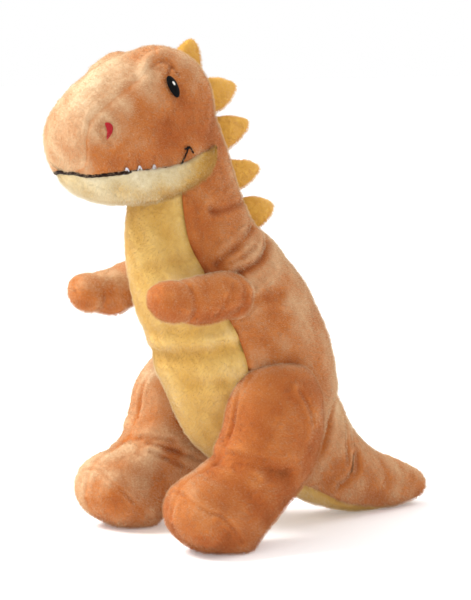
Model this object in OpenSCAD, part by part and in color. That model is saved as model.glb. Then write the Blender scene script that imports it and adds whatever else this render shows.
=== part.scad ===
// A sitting-height plush dinosaur: sewn fabric panels over fibre filling.
// It faces -Y, stands on the plane z = 0, and its left side is +X.

/* [Overall] */
// Height of the toy from its soles to the top of its head spine
toy_height = 245; // [220:1:270]
// Gap left between neighbouring bodies and between skin and filling
gap = 0.4; // [0.3:0.05:0.6]
// Thickness of the plush fabric without its pile
skin_t = 1.2; // [0.8:0.1:1.4]

/* [Head] */
// Width of the head across the cheeks
head_w = 53; // [48:1:56]
// Length of one eye, along its long side
eye_l = 10; // [8:0.5:12]
// How far the brow tucks stand out of the head
brow_h = 3; // [1:0.5:4]
// Height of the tallest spine
spine_h = 17; // [12:1:19]

/* [Trunk] */
// Width of the neck where it leaves the head
neck_w = 48; // [44:1:52]
// Width of the belly at its widest
belly_w = 80; // [74:1:84]
// Width of the tail at its root
tail_w = 44; // [38:1:48]

/* [Limbs] */
// Thickness of an arm at the forearm
arm_d = 22; // [18:1:24]
// Width of a leg, and of its foot
leg_w = 38; // [32:1:42]
// Length of a foot sole
sole_l = 50; // [46:1:54]
// Thickness of a foot sole
sole_t = 2; // [1.5:0.25:2.5]

/* [Joints] */
// Furthest nod of the head, each way
nod_angle = 10; // [6:1:12]
// Furthest wag of the tail, each way
wag_angle = 18; // [10:1:20]

/* [Hidden] */

ORANGE = "sandybrown";
YELLOW = "khaki";
FIBRE = "whitesmoke";
THREAD = "black";

// Every table below is drawn for a toy this tall.
DRAWN_HEIGHT = 245;
k = toy_height / DRAWN_HEIGHT;
// Half widths in the tables are for these full widths.
head_k = head_w / 53;
neck_k = neck_w / 48;
belly_k = belly_w / 80;
tail_k = tail_w / 44;
leg_k = leg_w / 38;
arm_k = arm_d / 22;

// The nose and the tail tip are as far from the origin as each other.
NOSE_Y = -80;
TAIL_TIP_Y = 151.5;
y_shift = -k * (NOSE_Y + TAIL_TIP_Y) / 2;

// The filling starts this far inside the fabric's outer face.
fill_inset = skin_t + 2 * gap;

// A loft: [stations, squareness of a station (2 is an ellipse), lowest z it may reach,
// and 1 if its stations run up or back, -1 if they run down].
// A station: [front y, front z, back y, back z, half width, seam angle]. The seam angle
// runs round the station from its back point to the lower panel.
HEAD = [[
    [-75, 182, -77, 185, 2.5 * head_k, 90],
    [-73, 176, -80, 196, 14 * head_k, 103],
    [-61, 169, -76, 212, 19.5 * head_k, 108],
    [-44, 165.5, -62, 225, 24 * head_k, 112],
    [-28, 165, -42, 236, 26.5 * head_k, 117],
    [-15, 165, -21, 241, 26 * head_k, 119],
    [-6, 165, 0, 233, 25 * head_k, 100],
    [2, 165, 11, 208, 23.5 * head_k, 100],
    [9, 165, 18, 186, 22 * head_k, 100],
    [15, 165, 22, 171, 14 * head_k, 100]
], 2, 0, -1];
NECK = [[
    [-32, 146.4, 34, 146.4, 27.5 * neck_k, 124],
    [-32, 155, 28, 155, 25 * neck_k, 124],
    [-31, 164.2, 24, 164.2, 23.5 * neck_k, 126]
], 2, 0, 1];
TORSO = [[
    [-32, 146, 36, 146, 28 * neck_k, 124],
    [-30, 131, 43, 138, 31.5 * belly_k, 122],
    [-26, 116, 57, 120, 35.5 * belly_k, 121],
    [-19, 103, 68, 104, 38.5 * belly_k, 120],
    [-13, 90.5, 75, 90.5, 40 * belly_k, 122]
], 2, 0, -1];
HIPS = [[
    [-12, 89, 75, 89, 19.5, 128],
    [-4, 64, 83, 76, 19.5, 132],
    [5, 46, 87, 70, 19.5, 138],
    [22, 33, 90, 66, 19.5, 142],
    [44, 23, 92, 62, 19.5, 145],
    [66, 13, 94, 59, 20.5 * tail_k, 145],
    [84, 6, 96, 56, 22 * tail_k, 145]
], 2, 0, -1];
TAIL = [[
    [84.5, 6, 96.5, 56, 22 * tail_k, 145],
    [100, 1.6, 107, 46, 20 * tail_k, 145],
    [116, 0, 120, 35, 16 * tail_k, 145],
    [131, 1, 133, 25, 12 * tail_k, 145],
    [143, 3.5, 144.5, 17.5, 7.5 * tail_k, 145],
    [151, 9, 151.5, 11, 1.5 * tail_k, 145]
], 2, 0, -1];
// The leg's stations run from the thigh's top to the toe. Their seam angle is a quarter
// turn, so the outer panel meets the inner one along the leg's front and back.
LEG = [[
    [26, 88, 30, 88, 3 * leg_k, 90],
    [12, 85, 44, 85, 12 * leg_k, 90],
    [1, 72, 53, 72, 18 * leg_k, 90],
    [-2, 56, 54, 52, 19 * leg_k, 90],
    [-3, 46, 46, 34, 19 * leg_k, 90],
    [-8, 38, 31, 15, 19 * leg_k, 90],
    [-16, 34, 14, -3, 19 * leg_k, 90],
    [-25, 30.5, -5, -3, 19 * leg_k, 90],
    [-33, 26, -23, -1, 18 * leg_k, 90],
    [-38, 18, -34, 5, 12 * leg_k, 90],
    [-39.3, 13.5, -38.6, 10, 2 * leg_k, 90]
], 2.5, sole_t + 0.1, -1];
leg_x = 20.4 + 19 * leg_k;
// The arm's stations run from a round shoulder to the hand.
ARM = [[
    [2.6, 121.5, 3, 124.5, 2, 90],
    [-0.5, 114.5, 0.5, 131.5, 8.5 * arm_k, 90],
    [-8, 112, -8, 134.5, 11 * arm_k, 90],
    [-20, 109.5, -20, 131.5, 10.5 * arm_k, 90],
    [-31, 112, -31, 130, 8.7 * arm_k, 90],
    [-39, 111, -39, 131.5, 10 * arm_k, 90],
    [-45, 114, -45, 129.5, 7.5 * arm_k, 90],
    [-47.6, 119.5, -47.6, 123, 2, 90]
], 2, 0, 1];
arm_x = 41.5;

// Places of the sewn details on the head: [station, angle].
EYE = [4.75, 48];
GLINT = [4.78, 46];
BROW = [4.1, 27];
NOSTRIL = [2.75, 60];
BACK_OF_JAW = 6;
GUSSET_END = 4.8;
TEETH = [3.9, 4.35, 4.8];

// The neck nods about this point, and the tail wags about that one.
NOD = [2, 146.2];
WAG_Y = 98;

// ---- lofts ----

function shrink(a, d) = max(a - d, a * 0.3);
function signed_pow(a, e) = sign(a) * pow(abs(a), e);
function row_at(t, u) =
    let (rows = t[0], n = len(rows) - 1, i = min(floor(u), n - 1), f = u - i)
    let (p0 = rows[max(i - 1, 0)], p1 = rows[i], p2 = rows[i + 1], p3 = rows[min(i + 2, n)])
    0.5 * (2 * p1 + (p2 - p0) * f + (2 * p0 - 5 * p1 + 4 * p2 - p3) * f * f
        + (3 * p1 - 3 * p2 + p3 - p0) * f * f * f);

// A point of the loft t at station u and angle v, moved in by inset. v = 0 is the
// station's back point and v = 180 its front point.
function loft_point(t, u, v, inset) =
    let (r = row_at(t, u), mid = [r[0] + r[2], r[1] + r[3]] / 2)
    let (half = [r[2] - r[0], r[3] - r[1]] / 2, s = shrink(norm(half), inset) / norm(half))
    let (c = signed_pow(cos(v), 2 / t[1]), w = signed_pow(sin(v), 2 / t[1]))
    let (z = mid[1] + half[1] * s * c)
    k * [shrink(r[4], inset) * w, mid[0] + half[0] * s * c, max(z, t[2] + max(inset, 0))];

// A loft's first station is cut back on both sides of a hinge: [axis, place, slope, way].
NO_CUT = [0, 0, 0, [0, 0, 0]];
NOD_CUT = [1, k * NOD[0], tan(nod_angle + 1), [0, 0, 1]];
WAG_CUT = [0, 0, tan(wag_angle + 1), [0, 1, 0]];
function cut_back(p, u, cut) =
    p + cut[3] * abs(p[cut[0]] - cut[1]) * cut[2] * max(0, 1 - u);

function seam_at(t, u) = row_at(t, u)[5];
function steps(a, b, n) = [for (i = [0:n]) a + (b - a) * i / n];

function facing(faces, way) =
    way > 0 ? faces : [for (f = faces) [for (i = [len(f) - 1:-1:0]) f[i]]];

// Faces of a closed sheet whose outer and inner grids have rows x cols points each.
function sheet_faces(rows, cols) =
    let (m = rows * cols)
    let (quads = concat(
        [for (i = [0:rows - 2], j = [0:cols - 2])
            [i * cols + j, i * cols + j + 1, (i + 1) * cols + j + 1, (i + 1) * cols + j]],
        [for (i = [0:rows - 2], j = [0:cols - 2])
            [m + i * cols + j, m + (i + 1) * cols + j, m + (i + 1) * cols + j + 1, m + i * cols + j + 1]],
        [for (j = [0:cols - 2]) [j, m + j, m + j + 1, j + 1]],
        [for (j = [0:cols - 2]) let (e = (rows - 1) * cols + j) [e, e + 1, m + e + 1, m + e]],
        [for (i = [0:rows - 2]) let (e = i * cols) [e, e + cols, m + e + cols, m + e]],
        [for (i = [0:rows - 2]) let (e = i * cols + cols - 1) [e, m + e, m + e + cols, e + cols]]))
    [for (q = quads) each [[q[0], q[1], q[2]], [q[0], q[2], q[3]]]];

// One fabric panel of a loft, between two lists of angles, one pair for each station.
module panel(t, us, v_from, v_to, nv, cut = NO_CUT) {
    grid = [for (i = [0:len(us) - 1]) [for (j = [0:nv])
        [us[i], v_from[i] + (v_to[i] - v_from[i]) * j / nv]]];
    outer = [for (r = grid) each [for (g = r) cut_back(loft_point(t, g[0], g[1], 0), g[0], cut)]];
    inner = [for (r = grid) each [for (g = r) cut_back(loft_point(t, g[0], g[1], skin_t), g[0], cut)]];
    polyhedron(points = concat(outer, inner), faces = facing(sheet_faces(len(us), nv + 1), t[3]),
        convexity = 6);
}

// A closed filling of a loft, with a point at the middle of each end.
module filling(t, us, sides, inset, cut = NO_CUT) {
    rings = len(us);
    ring_points = [for (u = us) each [for (j = [0:sides - 1])
        cut_back(loft_point(t, u, 360 * j / sides, inset), u, cut)]];
    ends = [for (i = [0, rings - 1])
        let (a = loft_point(t, us[i], 0, inset), b = loft_point(t, us[i], 180, inset)) (a + b) / 2];
    hub = cut == NOD_CUT ? [ends[0][0], cut[1], ends[0][2]] : ends[0];
    tube = [for (i = [0:rings - 2], j = [0:sides - 1]) let (n = (j + 1) % sides)
        each [[i * sides + j, i * sides + n, (i + 1) * sides + n],
              [i * sides + j, (i + 1) * sides + n, (i + 1) * sides + j]]];
    caps = [for (j = [0:sides - 1]) let (n = (j + 1) % sides, e = (rings - 1) * sides)
        each [[rings * sides, n, j], [rings * sides + 1, e + j, e + n]]];
    polyhedron(points = concat(ring_points, [hub, ends[1]]), faces = facing(concat(tube, caps), t[3]),
        convexity = 6);
}

// A small domed patch on a loft, centred at at = [station, angle].
module patch(t, at, ru, rv, lift, rise, rings = 3, sides = 16) {
    function spot(r, a, out) = loft_point(t, at[0] + ru * r * cos(a), at[1] + rv * r * sin(a), -out);
    top = [for (i = [1:rings]) each [for (j = [0:sides - 1])
        let (r = i / rings) spot(r, 360 * j / sides, lift + rise * (1.15 - r * r))]];
    base = [for (j = [0:sides - 1]) spot(1, 360 * j / sides, lift)];
    m = rings * sides;
    hubs = [spot(0, 0, lift + rise * 1.15), spot(0, 0, lift)];
    faces = concat(
        [for (j = [0:sides - 1]) let (n = (j + 1) % sides) [m + sides, n, j]],
        [for (i = [0:rings - 2], j = [0:sides - 1]) let (n = (j + 1) % sides)
            each [[i * sides + j, i * sides + n, (i + 1) * sides + n],
                  [i * sides + j, (i + 1) * sides + n, (i + 1) * sides + j]]],
        [for (j = [0:sides - 1]) let (n = (j + 1) % sides, e = (rings - 1) * sides)
            each [[e + j, e + n, m + n], [e + j, m + n, m + j]]],
        [for (j = [0:sides - 1]) let (n = (j + 1) % sides) [m + sides + 1, m + j, m + n]]);
    polyhedron(points = concat(top, base, hubs), faces = facing(faces, t[3]), convexity = 4);
}

// Thread that lies on a loft along a list of [station, angle] places.
module stitch_line(t, places, r, lift, sides = 6) {
    path = [for (p = places) loft_point(t, p[0], p[1], -lift)];
    n = len(path);
    points = [for (i = [0:n - 1]) each
        let (way = path[min(i + 1, n - 1)] - path[max(i - 1, 0)], w = way / norm(way))
        let (side0 = cross(w, [0, 0, 1]), a = side0 / norm(side0), b = cross(a, w))
        [for (j = [0:sides - 1]) path[i] + r * (a * cos(360 * j / sides) + b * sin(360 * j / sides))]];
    tube = [for (i = [0:n - 2], j = [0:sides - 1]) let (m = (j + 1) % sides)
        each [[i * sides + j, (i + 1) * sides + m, i * sides + m],
              [i * sides + j, (i + 1) * sides + j, (i + 1) * sides + m]]];
    caps = [[for (j = [0:sides - 1]) j], [for (j = [sides - 1:-1:0]) (n - 1) * sides + j]];
    polyhedron(points = points, faces = facing(concat(tube, caps), -1), convexity = 6);
}

module on_side(side) {
    if (side > 0) children();
    else mirror([1, 0, 0]) children();
}
module place() translate([0, y_shift, 0]) children();

// ---- trunk ----

TORSO_US = steps(0, 4, 12);
HIPS_US = steps(0, 6, 12);

// The torso's stations run down to the thighs, and the hips' from there to the tail.
module trunk_panel(v_a, v_b, nv) {
    for (part = [[TORSO, TORSO_US], [HIPS, HIPS_US]]) {
        t = part[0];
        us = part[1];
        panel(t, us, [for (u = us) v_a == 0 ? 0 : seam_at(t, u)],
            [for (u = us) v_b == 0 ? seam_at(t, u) : 360 - seam_at(t, u)], nv);
    }
}
module torso_side(side) color(ORANGE) place() on_side(side) trunk_panel(0, 0, 10);
module belly_gusset() color(YELLOW) place() trunk_panel(1, 1, 9);
module torso_filling() color(FIBRE) place() {
    filling(TORSO, TORSO_US, 24, fill_inset);
    filling(HIPS, HIPS_US, 24, fill_inset);
}

// ---- neck ----

NECK_US = steps(0, 2, 4);
module neck_side(side) color(ORANGE) place() on_side(side)
    panel(NECK, NECK_US, [for (u = NECK_US) 0], [for (u = NECK_US) seam_at(NECK, u)], 12, NOD_CUT);
module throat_gusset() color(YELLOW) place()
    panel(NECK, NECK_US, [for (u = NECK_US) seam_at(NECK, u)],
        [for (u = NECK_US) 360 - seam_at(NECK, u)], 10, NOD_CUT);
module neck_filling() color(FIBRE) place() filling(NECK, NECK_US, 32, fill_inset, NOD_CUT);

// ---- head ----

// One narrow step follows the back of the jaw, where the side panels reach under the head.
HEAD_US = concat(steps(0, 6, 18), [6.03], [for (i = [1:9]) 6 + i / 3]);
GUSSET_US = [for (u = HEAD_US) if (u <= GUSSET_END) u];
JAW_US = [for (u = HEAD_US) if (u <= BACK_OF_JAW) u];
// Half the gusset's angle: wide over the muzzle and narrow at the crown.
function gusset_at(u) = u < GUSSET_END ? 62 - 46 * pow(u / GUSSET_END, 0.9) : 0;
function head_low(u) = u <= BACK_OF_JAW ? seam_at(HEAD, u) : 180;

module head_side(side) color(ORANGE) place() on_side(side)
    panel(HEAD, HEAD_US, [for (u = HEAD_US) gusset_at(u)], [for (u = HEAD_US) head_low(u)], 10);
module head_gusset() color(ORANGE) place()
    panel(HEAD, GUSSET_US, [for (u = GUSSET_US) -gusset_at(u)], [for (u = GUSSET_US) gusset_at(u)], 8);
module lower_jaw() color(YELLOW) place()
    panel(HEAD, JAW_US, [for (u = JAW_US) seam_at(HEAD, u)], [for (u = JAW_US) 360 - seam_at(HEAD, u)], 8);
// The filling stops short of the muzzle's front, where the mouth's thread goes round.
module head_filling() color(FIBRE) place() filling(HEAD, concat([1.2], steps(1.5, 9, 15)), 24, fill_inset + 0.6);

EYE_RISE = 1;
DETAIL_LIFT = 0.15;
BROW_LIFT = 0.5;
module brow(side) color(ORANGE) place() on_side(side) patch(HEAD, BROW, 0.42, 15, BROW_LIFT, brow_h);
module eye(side) color(THREAD) place() on_side(side)
    patch(HEAD, EYE, 0.02 * eye_l, 0.95 * eye_l, DETAIL_LIFT, EYE_RISE, 3, 20);
module eye_glint(side) color("white") place() on_side(side)
    patch(HEAD, GLINT, 0.05, 3, DETAIL_LIFT + 1.25 * EYE_RISE, 0.4, 2, 12);
module nostril(side) color("crimson") place() on_side(side)
    patch(HEAD, NOSTRIL, 0.1, 9, DETAIL_LIFT, 0.5, 2, 16);

THREAD_R = 0.5;
THREAD_LIFT = THREAD_R + 0.1;
// The mouth's steps are closer together round the front of the muzzle.
MOUTH_US = [for (f = steps(0, 1, 18)) 5.2 * pow(f, 1.5)];
module mouth_line() color(THREAD) place()
    stitch_line(HEAD, concat(
        [for (i = [len(MOUTH_US) - 1:-1:0]) [MOUTH_US[i], 360 - seam_at(HEAD, MOUTH_US[i])]],
        [for (u = MOUTH_US) [u, seam_at(HEAD, u)]]), THREAD_R, THREAD_LIFT);
module smile(side) color(THREAD) place() on_side(side)
    stitch_line(HEAD, [for (f = steps(0, 1, 6)) [5.42 + 0.12 * f, 109 - 20 * f]], THREAD_R, THREAD_LIFT);
module teeth(side) color("white") place() on_side(side)
    for (u = TEETH) patch(HEAD, [u, seam_at(HEAD, u) - 5], 0.1, 2.6, DETAIL_LIFT, 0.5, 2, 8);

// Spines along the middle of the back, from the crown down: [loft, station, height, stand-off].
SPINES = [
    [HEAD, 6.05, 0.9, 0.6],
    [HEAD, 6.65, 0.95, 0.6],
    [HEAD, 7.5, 0.85, 0.6],
    [HEAD, 8.5, 0.8, 0.6],
    [NECK, 1.35, 0.75, 1.3]
];
SPINE_HALF_BASE = 4.5;
SPINE_ROOT_R = 3.6;
SPINE_TIP_R = 2.2;
module spine(i) color(YELLOW) place() {
    s = SPINES[i];
    base = loft_point(s[0], s[1], 0, 0);
    along = loft_point(s[0], s[1] + 0.1, 0, 0) - loft_point(s[0], s[1] - 0.1, 0, 0);
    lean = atan2(-along[1] * sign(along[2]), abs(along[2]));
    translate(base) rotate([lean, 0, 0]) hull() {
        for (end = [-1, 1]) translate([0, SPINE_ROOT_R + s[3], end * SPINE_HALF_BASE])
            sphere(r = SPINE_ROOT_R, $fn = 16);
        translate([0, spine_h * s[2] - SPINE_TIP_R, 2.5]) sphere(r = SPINE_TIP_R, $fn = 14);
    }
}

// ---- tail ----

TAIL_US = concat(steps(0, 1, 3), [for (u = steps(1, 5, 10)) if (u > 1) u]);
module tail_side(side) color(ORANGE) place() on_side(side)
    panel(TAIL, TAIL_US, [for (u = TAIL_US) 0], [for (u = TAIL_US) seam_at(TAIL, u)], 10, WAG_CUT);
module tail_underside() color(YELLOW) place()
    panel(TAIL, TAIL_US, [for (u = TAIL_US) seam_at(TAIL, u)],
        [for (u = TAIL_US) 360 - seam_at(TAIL, u)], 4, WAG_CUT);
module tail_filling() color(FIBRE) place() filling(TAIL, TAIL_US, 24, fill_inset, WAG_CUT);

// ---- arms ----

ARM_US = steps(0, 7, 14);
module arm_place(side) place() on_side(side) translate([arm_x * k, 0, 0]) children();
module arm_half(side, v_from) color(ORANGE) arm_place(side)
    panel(ARM, ARM_US, [for (u = ARM_US) v_from], [for (u = ARM_US) v_from + 180], 8);
module arm_filling(side) color(FIBRE) arm_place(side) filling(ARM, ARM_US, 16, fill_inset);

// ---- legs ----

LEG_US = steps(0, 10, 20);
module leg_place(side) place() on_side(side) translate([leg_x * k, 0, 0]) children();
module leg_half(side, v_from) color(ORANGE) leg_place(side)
    panel(LEG, LEG_US, [for (u = LEG_US) v_from], [for (u = LEG_US) v_from + 180], 9);
module leg_filling(side) color(FIBRE) leg_place(side) filling(LEG, steps(0, 7, 14), 20, fill_inset);
module foot_pellets(side) color("gainsboro") leg_place(side)
    filling(LEG, steps(7.1, 9.6, 5), 16, fill_inset);

SOLE_Y = -12;
SOLE_SQUARENESS = 2.5;
module sole(side) color(ORANGE) leg_place(side)
    translate([0, SOLE_Y * k, 0]) linear_extrude(height = sole_t)
        polygon([for (a = [0:7.5:352.5])
            k * [(leg_w / 2 - 2) * signed_pow(cos(a), 2 / SOLE_SQUARENESS),
                sole_l / 2 * signed_pow(sin(a), 2 / SOLE_SQUARENESS)]]);

torso_side(1);  // torso_side_left
torso_side(-1);  // torso_side_right
belly_gusset();
torso_filling();
neck_side(1);  // neck_side_left
neck_side(-1);  // neck_side_right
throat_gusset();
neck_filling();
head_side(1);  // head_side_left
head_side(-1);  // head_side_right
head_gusset();
lower_jaw();
head_filling();
brow(1);  // brow_left
brow(-1);  // brow_right
eye(1);  // eye_left
eye(-1);  // eye_right
eye_glint(1);  // eye_glint_left
eye_glint(-1);  // eye_glint_right
nostril(1);  // nostril_left
nostril(-1);  // nostril_right
mouth_line();
smile(1);  // smile_left
smile(-1);  // smile_right
teeth(1);  // teeth_left
teeth(-1);  // teeth_right
spine(0);  // spine_1
spine(1);  // spine_2
spine(2);  // spine_3
spine(3);  // spine_4
spine(4);  // spine_5
tail_side(1);  // tail_side_left
tail_side(-1);  // tail_side_right
tail_underside();
tail_filling();
arm_half(1, -90);  // arm_upper_left
arm_half(1, 90);  // arm_lower_left
arm_filling(1);  // arm_filling_left
arm_half(-1, -90);  // arm_upper_right
arm_half(-1, 90);  // arm_lower_right
arm_filling(-1);  // arm_filling_right
leg_half(1, 0);  // leg_outer_left
leg_half(1, 180);  // leg_inner_left
leg_filling(1);  // leg_filling_left
sole(1);  // sole_left
foot_pellets(1);  // foot_pellets_left
leg_half(-1, 0);  // leg_outer_right
leg_half(-1, 180);  // leg_inner_right
leg_filling(-1);  // leg_filling_right
sole(-1);  // sole_right
foot_pellets(-1);  // foot_pellets_right
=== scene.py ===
import math

import bpy
import numpy as np
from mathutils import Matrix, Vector


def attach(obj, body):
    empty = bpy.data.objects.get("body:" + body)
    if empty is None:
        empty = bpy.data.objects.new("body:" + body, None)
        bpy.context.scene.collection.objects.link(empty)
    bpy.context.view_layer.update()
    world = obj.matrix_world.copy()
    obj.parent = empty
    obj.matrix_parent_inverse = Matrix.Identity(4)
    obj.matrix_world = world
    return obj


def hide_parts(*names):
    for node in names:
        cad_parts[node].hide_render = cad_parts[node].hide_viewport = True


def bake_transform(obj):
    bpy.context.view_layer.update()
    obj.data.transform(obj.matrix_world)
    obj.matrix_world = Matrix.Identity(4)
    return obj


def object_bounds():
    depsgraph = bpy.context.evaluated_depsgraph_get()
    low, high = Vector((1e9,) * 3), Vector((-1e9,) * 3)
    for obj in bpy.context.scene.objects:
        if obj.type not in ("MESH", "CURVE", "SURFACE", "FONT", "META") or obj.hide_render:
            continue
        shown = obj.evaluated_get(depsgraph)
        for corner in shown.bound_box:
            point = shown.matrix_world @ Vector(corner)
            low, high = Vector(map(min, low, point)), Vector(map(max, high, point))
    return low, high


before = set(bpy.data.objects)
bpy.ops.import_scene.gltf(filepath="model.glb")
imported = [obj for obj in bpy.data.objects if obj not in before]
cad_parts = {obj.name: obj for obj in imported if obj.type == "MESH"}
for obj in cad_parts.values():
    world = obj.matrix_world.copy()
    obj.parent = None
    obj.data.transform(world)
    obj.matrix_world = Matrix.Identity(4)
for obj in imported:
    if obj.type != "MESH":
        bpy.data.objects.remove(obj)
CAD_LO, CAD_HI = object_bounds()

# Shapes below are drawn in toy millimetres: x = 0 is the toy's middle and z = 0 its soles,
# y runs from the nose to the tail's tip. UNIT is one of them in metres.
TOY_HEIGHT = 244.62
NOSE_Y = -80.0
UNIT = (CAD_HI.z - CAD_LO.z) / TOY_HEIGHT
Y_SHIFT = CAD_LO.y / UNIT - NOSE_Y


def in_frame(points):
    """Toy millimetres to metres in the shared frame."""
    return (np.asarray(points, float) + [0.0, Y_SHIFT, 0.0]) * UNIT


# ---- shapes: stations of each loft ----

# Head, trunk and tail: [front y, front z, back y, back z, half width, seam angle]. The angle
# runs round a station from its back point (0) over the toy's left to its front point (180);
# the seam is where the orange side panel meets the yellow one.
BODY = [
    [-70.6, 180.8, -71.6, 182.4, 1.5, 90],
    [-66.5, 175, -78.8, 197, 11, 112],
    [-60, 168, -76, 212, 19.7, 111],
    [-44, 164.5, -62, 225, 24, 115],
    [-28, 164.5, -42, 236, 26.5, 120],
    [-17, 165, -20.5, 241, 26.2, 120],
    [-16, 167.5, 0, 232.5, 24.5, 122],
    [-26, 168.5, 10.5, 208, 23, 122],
    [-32.5, 165, 20, 184, 22.5, 119],
    [-33, 147, 31, 156, 27, 121],
    [-31, 132, 48, 141.5, 32, 121],
    [-27, 116, 63.5, 122.5, 36, 120],
    [-19, 101, 73.5, 104.5, 39, 120],
    [-12, 84, 79, 87, 41, 122],
    [-4, 64, 82, 75, 38, 128],
    [4, 47, 84, 68.5, 32, 134],
    [20, 34, 87, 63, 27, 138],
    [42, 24, 90, 59.5, 25, 142],
    [64, 14, 90.5, 56, 23.5, 145],
    [82, 6, 93, 51, 21.5, 145],
    [98, 2, 102, 41, 18.5, 149],
    [114, 0.4, 115.5, 32, 15.5, 156],
    [132, 0.6, 133, 24, 12.3, 164],
    [146, 2.2, 147, 18, 8.8, 168],
    [151.6, 10.4, 151.6, 10.6, 0.1, 168],
]
# Stations on top of the head, between neck and trunk, between trunk and tail, and at the tip.
CROWN = 5.0
NECK_RING = 9.0
TAIL_RING = 19.0
TAIL_TIP = len(BODY) - 1.0

# Half the angle of the panel over the muzzle and the forehead, by station: it takes in the
# whole muzzle in front, and ends under the brows.
GUSSET_U = [0, 1.3, 1.6, 1.9, 2.3, 3.0, 4.0, 4.6, 5.0]
GUSSET_ANGLE = [100, 98, 86, 65, 51, 47, 42, 26, 0]

# Limbs, with the same columns but no seam: a leg from the hip to the toe about x = LEG_X,
# and an arm from the shoulder to the hand about x = ARM_X.
LEG = [
    [27.6, 88, 28.4, 88, 1],
    [12, 85, 39, 85, 12],
    [0, 72, 46, 72, 18],
    [-5, 57.5, 46, 51, 19.5],
    [-9.5, 48, 37.5, 32, 19.3],
    [-15, 42.5, 17, 13.5, 18.8],
    [-21, 39.5, 0.5, -1.5, 19],
    [-27.5, 37, -9, -2, 19.3],
    [-34, 32.5, -24.5, 2, 17.5],
    [-38, 25, -34, 9, 12],
    [-39.6, 17.5, -39.6, 17.3, 0.1],
]
LEG_X = 39.4
LEG_SQUARE = 2.3

ARM = [
    [3.9, 122.6, 4, 123.4, 1],
    [-0.5, 114.5, 0.5, 131.5, 8.5],
    [-8, 112, -8, 134.5, 11],
    [-20, 108.6, -20, 131.5, 10.8],
    [-31, 111.4, -31, 130.2, 9.0],
    [-39.5, 112.4, -39.5, 130.8, 9.4],
    [-45.4, 115.4, -45.4, 128.6, 6.8],
    [-47.6, 121.4, -47.6, 121.6, 0.1],
]
ARM_X = 41.5
# Each arm's stretch along y, its rise and its splay at the hand, and each foot's stretch.
ARM_FIT = {"left": (1.09, 2.0, 0.0), "right": (0.85, -1.6, 1.2)}
TOE_FIT = {"left": 1.0, "right": 0.9}

# Lower jaw: [lip y, lip z, bottom y, bottom z, half width] from the front to its back corner.
JAW = [
    [-71.8, 182.6, -72, 181.6, 1.5],
    [-70.2, 183, -70.8, 178, 10.4],
    [-65.2, 183, -67, 174.3, 16.8],
    [-53, 183, -58.5, 170, 22.2],
    [-38, 182.6, -49, 167, 25.6],
    [-23, 184.5, -40.5, 165.8, 26.8],
    [-9, 189.5, -34, 166, 26.2],
    [-0.5, 193.5, -28, 168, 24],
]

# Folds in the plush: [depth, width, [(station, angle), ...]]; a negative depth is a ridge.
# Both sides have the same ones, but for those that end in 1 (left only) or -1 (right only).
HEAD_FOLDS = [
    [-1.4, 2.8, [(4.02, 42), (4.15, 35), (4.35, 29), (4.6, 25), (4.9, 22), (5.1, 27),
                 (5.16, 33)], 1],
    [-5.0, 4.0, [(3.85, 37), (4.0, 33), (4.2, 30), (4.45, 30)], -1],
    [0.8, 1.5, [(4.3, 37), (4.5, 33), (4.74, 34), (4.85, 40)]],
    [0.9, 0.9, [(4.64, 47), (4.85, 41), (4.96, 49)]],
    [-0.7, 1.6, [(4.4, 46), (4.2, 50), (4.02, 46)]],
    [0.5, 1.2, [(2.62, 58), (2.42, 63), (2.4, 72), (2.5, 80)]],
    [-0.5, 1.3, [(2.8, 61), (2.85, 70), (2.7, 80)]],
    [0.5, 0.9, [(2.75, 112), (2.85, 104)]],
    [0.5, 0.9, [(3.18, 112), (3.22, 103)]],
    [0.5, 0.9, [(3.55, 115), (3.65, 106)]],
    [1.2, 1.8, [(8.5, 92), (8.56, 82), (8.6, 51), (8.6, 36)]],
    [0.7, 1.6, [(8.25, 70), (8.2, 45)]],
    [-0.6, 3.0, [(8.3, 95), (8.3, 60)]],
]
TRUNK_FOLDS = [
    [1.6, 2.0, [(9.85, 108), (9.6, 95), (9.4, 80), (9.17, 59), (9.1, 42)]],
    [2.7, 2.2, [(10.3, 104), (10.13, 86), (9.99, 72), (9.75, 53), (9.6, 42)]],
    [0.9, 1.3, [(9.95, 100), (9.78, 84), (9.6, 68)]],
    [-1.1, 3.2, [(10.75, 92), (10.45, 72), (10.1, 50)]],
    [1.9, 2.0, [(10.2, 97), (10.55, 102), (10.9, 105), (11.33, 120)]],
    [1.0, 3.0, [(10.95, 74), (10.92, 95), (11.13, 107), (11.3, 116)]],
    [0.35, 2.2, [(11.1, 62), (11.6, 64), (12.0, 60)]],
    [0.4, 1.8, [(11.5, 84), (11.8, 74), (12.2, 70)]],
    [2.6, 2.6, [(15.2, 30), (15.45, 52), (16.4, 74), (16.89, 96), (17.1, 115), (17.5, 139)]],
    [1.0, 1.5, [(17.57, 50), (18.16, 75), (18.64, 94)]],
    [-0.7, 2.0, [(17.75, 44), (18.4, 72), (18.95, 92)]],
    [1.4, 2.0, [(19.0, 80), (18.91, 108), (18.67, 122)]],
    [1.2, 1.2, [(12.87, 128), (13.05, 118), (13.3, 112)]],
    [0.8, 1.0, [(13.2, 131), (13.35, 120)]],
]
BELLY_FOLDS = [
    [0.8, 3.6, [(11.5, 121), (11.85, 150), (11.9, 180), (12.0, 210), (11.8, 236)]],
    [-0.9, 3.4, [(11.95, 121), (12.1, 142), (12.2, 165), (12.2, 190)]],
    [1.5, 4.6, [(12.25, 121), (12.45, 138), (12.55, 164), (12.65, 190), (12.6, 215)]],
    [0.6, 3.0, [(9.6, 128), (9.7, 150), (9.8, 165)]],
    [0.5, 2.4, [(13.2, 128), (13.35, 150), (13.4, 165)]],
]
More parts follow.
